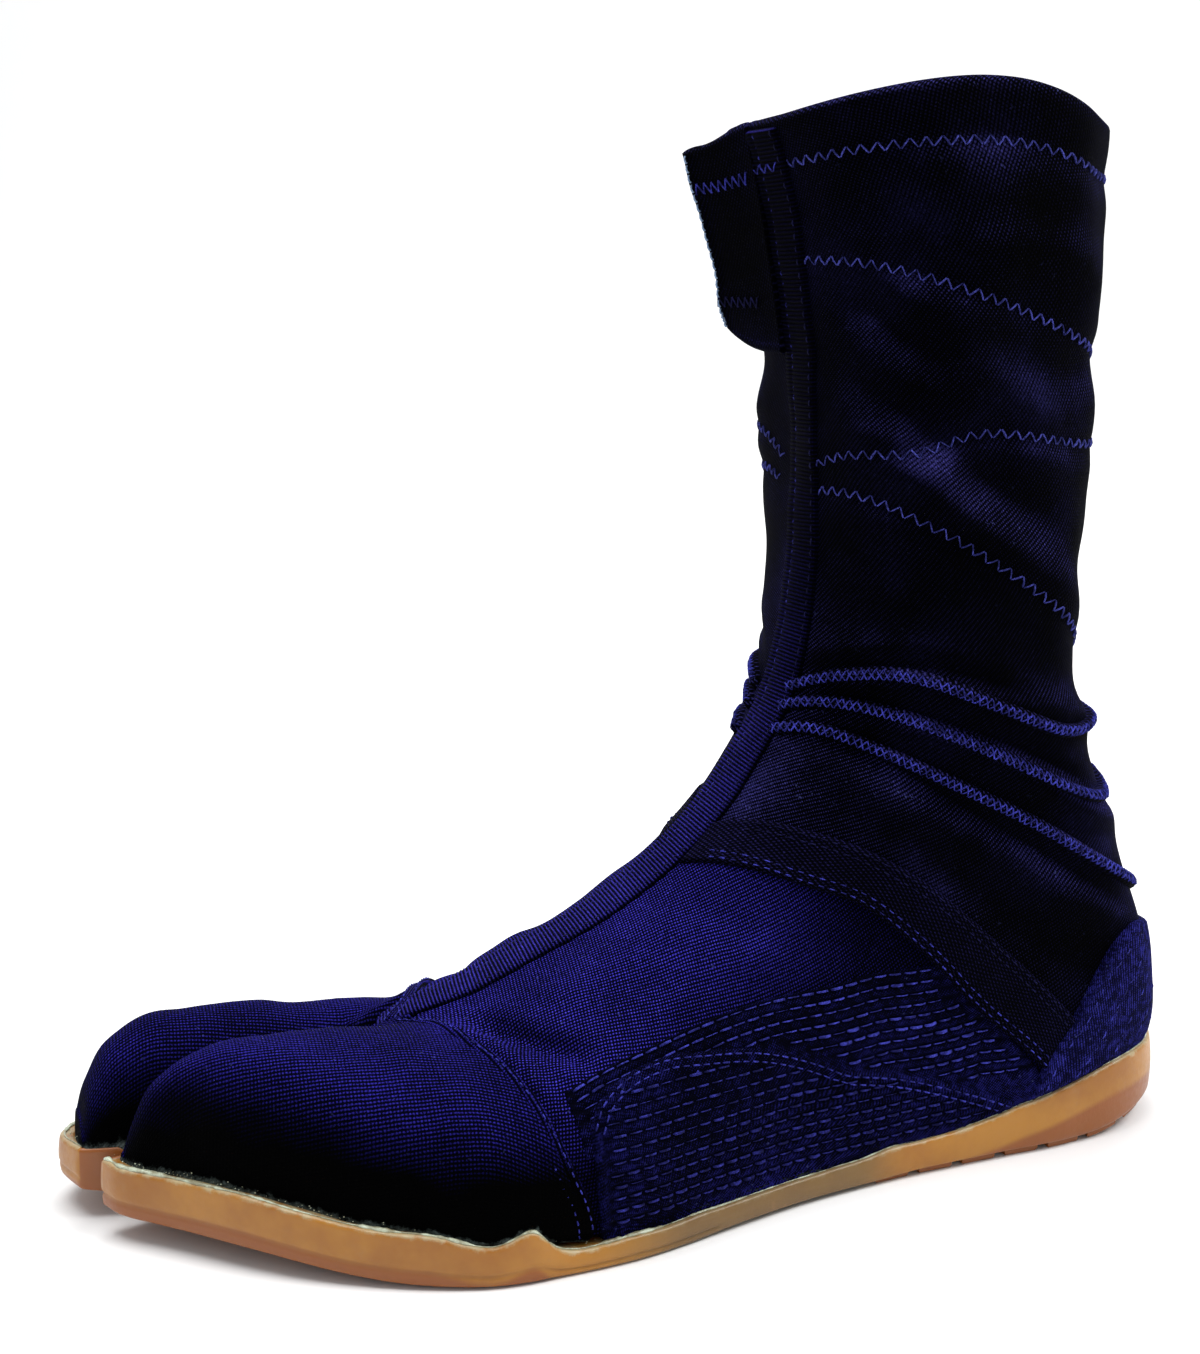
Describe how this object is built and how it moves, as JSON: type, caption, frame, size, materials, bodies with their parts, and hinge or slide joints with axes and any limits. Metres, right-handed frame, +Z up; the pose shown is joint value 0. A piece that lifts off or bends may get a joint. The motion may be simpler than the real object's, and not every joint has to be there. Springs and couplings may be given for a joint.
{
  "type": "split-toe work boot",
  "caption": "Left split-toe cloth boot with a tall soft shaft, front tape, quilted sides and a thin rubber sole.",
  "frame": {"origin": "on the floor, at the middle of the tread bar under the heel", "axes": "+Z up, toes towards -Y, outer (little-toe) side towards +X"},
  "size_m": [0.0989, 0.2693, 0.2505],
  "materials": {
    "sole_rubber": "satin gum rubber",
    "twill": "matte cotton twill",
    "tape": "ribbed woven tape",
    "band": "matte woven band",
    "quilting": "matte quilted cotton",
    "felt": "napped thick cotton",
    "insole_board": "matte"
  },
  "bodies": {
    "root": {"outsole": "sole_rubber", "upper": "twill", "insole": "insole_board", "front_tape": "tape", "instep_band_lateral": "band", "instep_band_medial": "band", "side_panel_lower_lateral": "quilting", "side_panel_lower_medial": "quilting", "side_panel_upper_lateral": "quilting", "side_panel_upper_medial": "quilting", "heel_counter": "felt", "ankle_tuck_1": "twill", "ankle_tuck_2": "twill", "ankle_tuck_3": "twill", "toe_seam_lateral": "quilting", "toe_seam_medial": "quilting", "closure_flap": "twill"}
  },
  "joints": []
}
